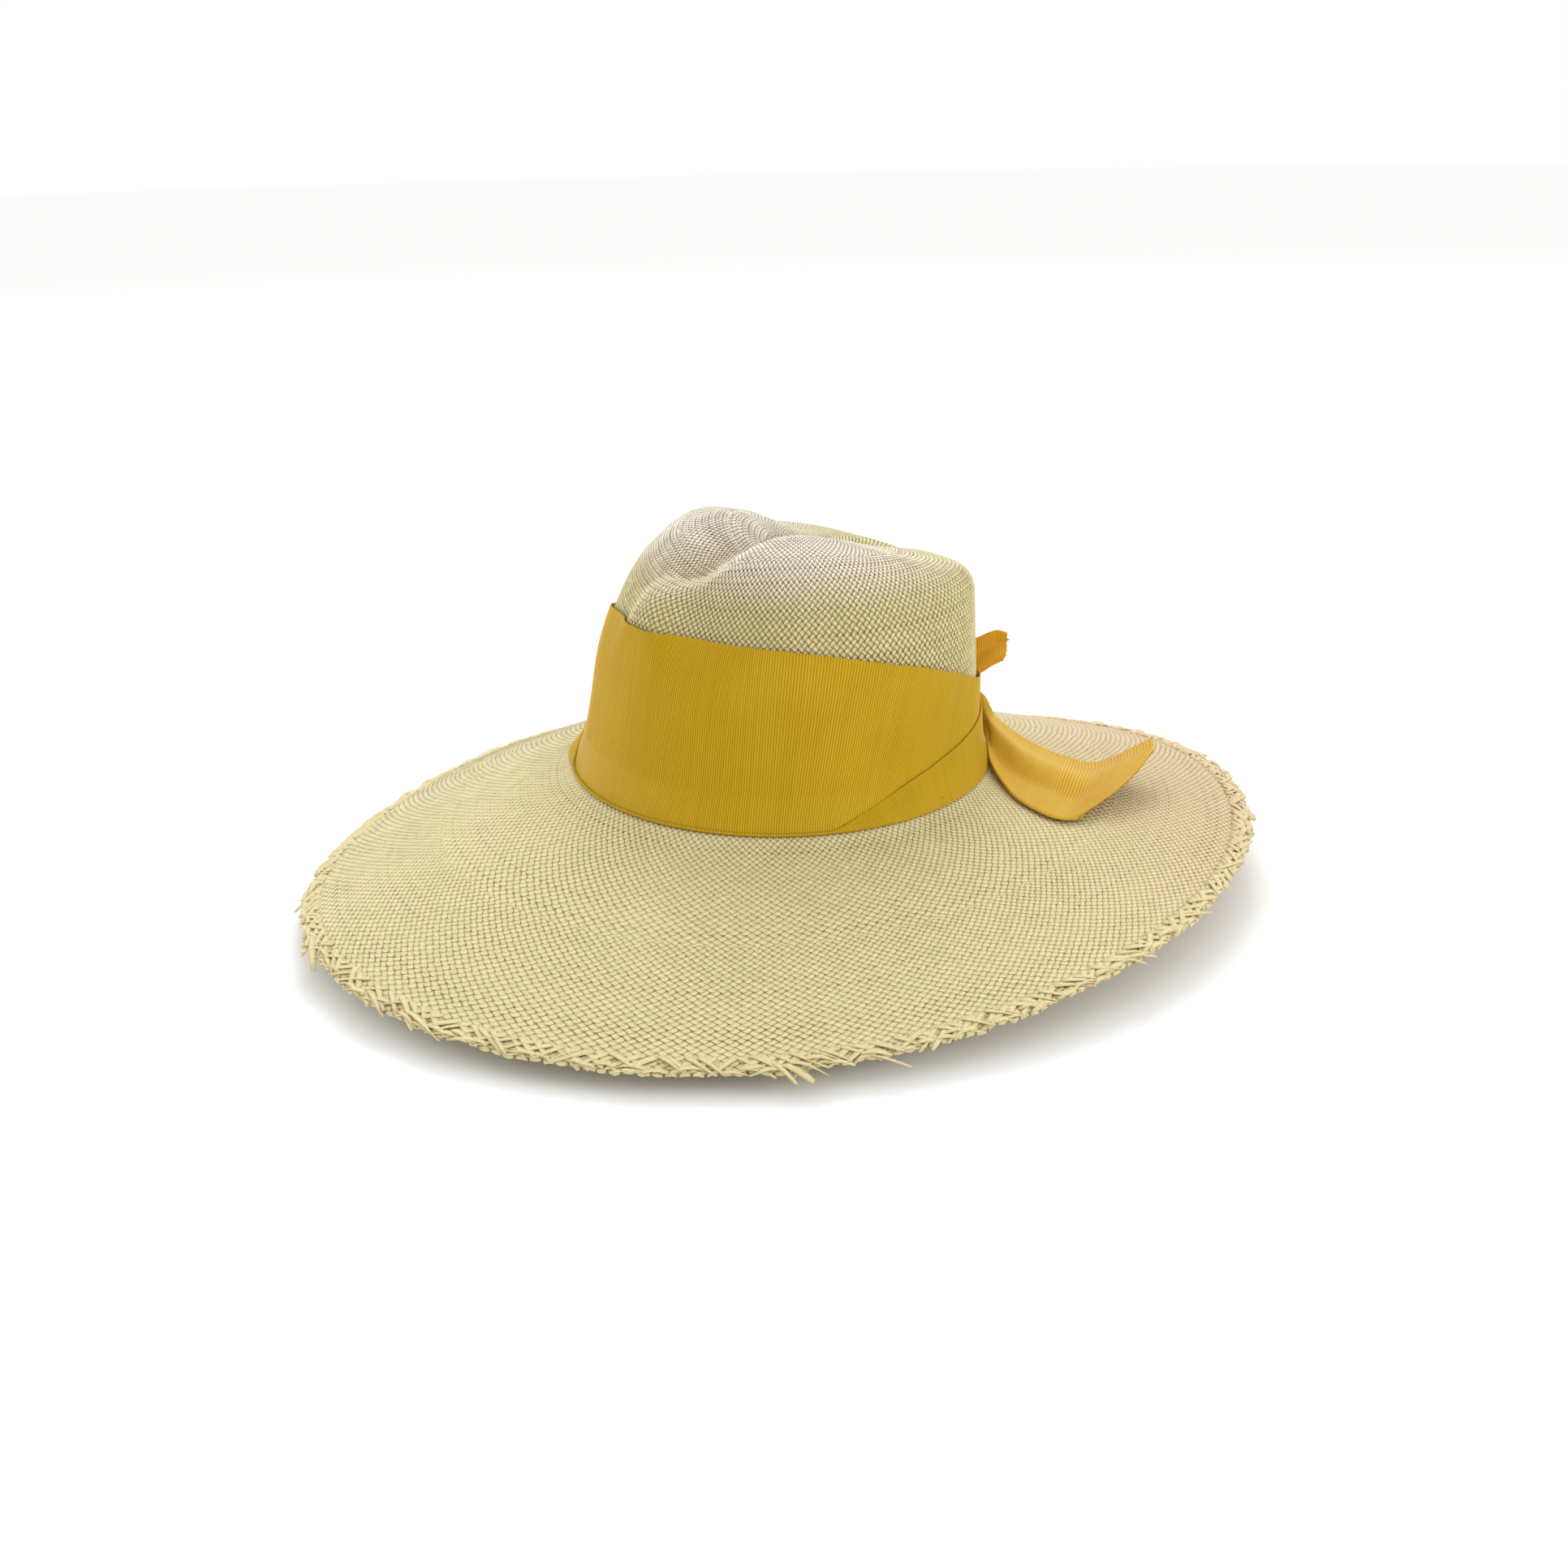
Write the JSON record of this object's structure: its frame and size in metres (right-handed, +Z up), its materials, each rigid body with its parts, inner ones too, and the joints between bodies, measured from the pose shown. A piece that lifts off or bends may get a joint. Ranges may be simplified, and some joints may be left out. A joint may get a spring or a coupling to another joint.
{
  "type": "wide-brim straw hat",
  "caption": "Woven straw hat with a pinched crown, a wide drooping brim with a raw frayed edge, and a deep ribbon folded round the crown that ends in two free tails.",
  "frame": {"origin": "middle of the hat's footprint, on the surface that its rim rests on", "axes": "+Z up, -Y towards the front of the hat, +X towards the wearer's left"},
  "size_m": [0.434, 0.4876, 0.181],
  "materials": {
    "straw": "undyed woven straw, matte with a faint silky sheen",
    "ribbon": "gold-yellow ribbed ribbon, satin"
  },
  "bodies": {
    "root": {"straw_body": "straw", "ribbon_band": "ribbon", "ribbon_knot": "ribbon", "ribbon_tail_long": "ribbon", "ribbon_tail_short": "ribbon"}
  },
  "joints": []
}
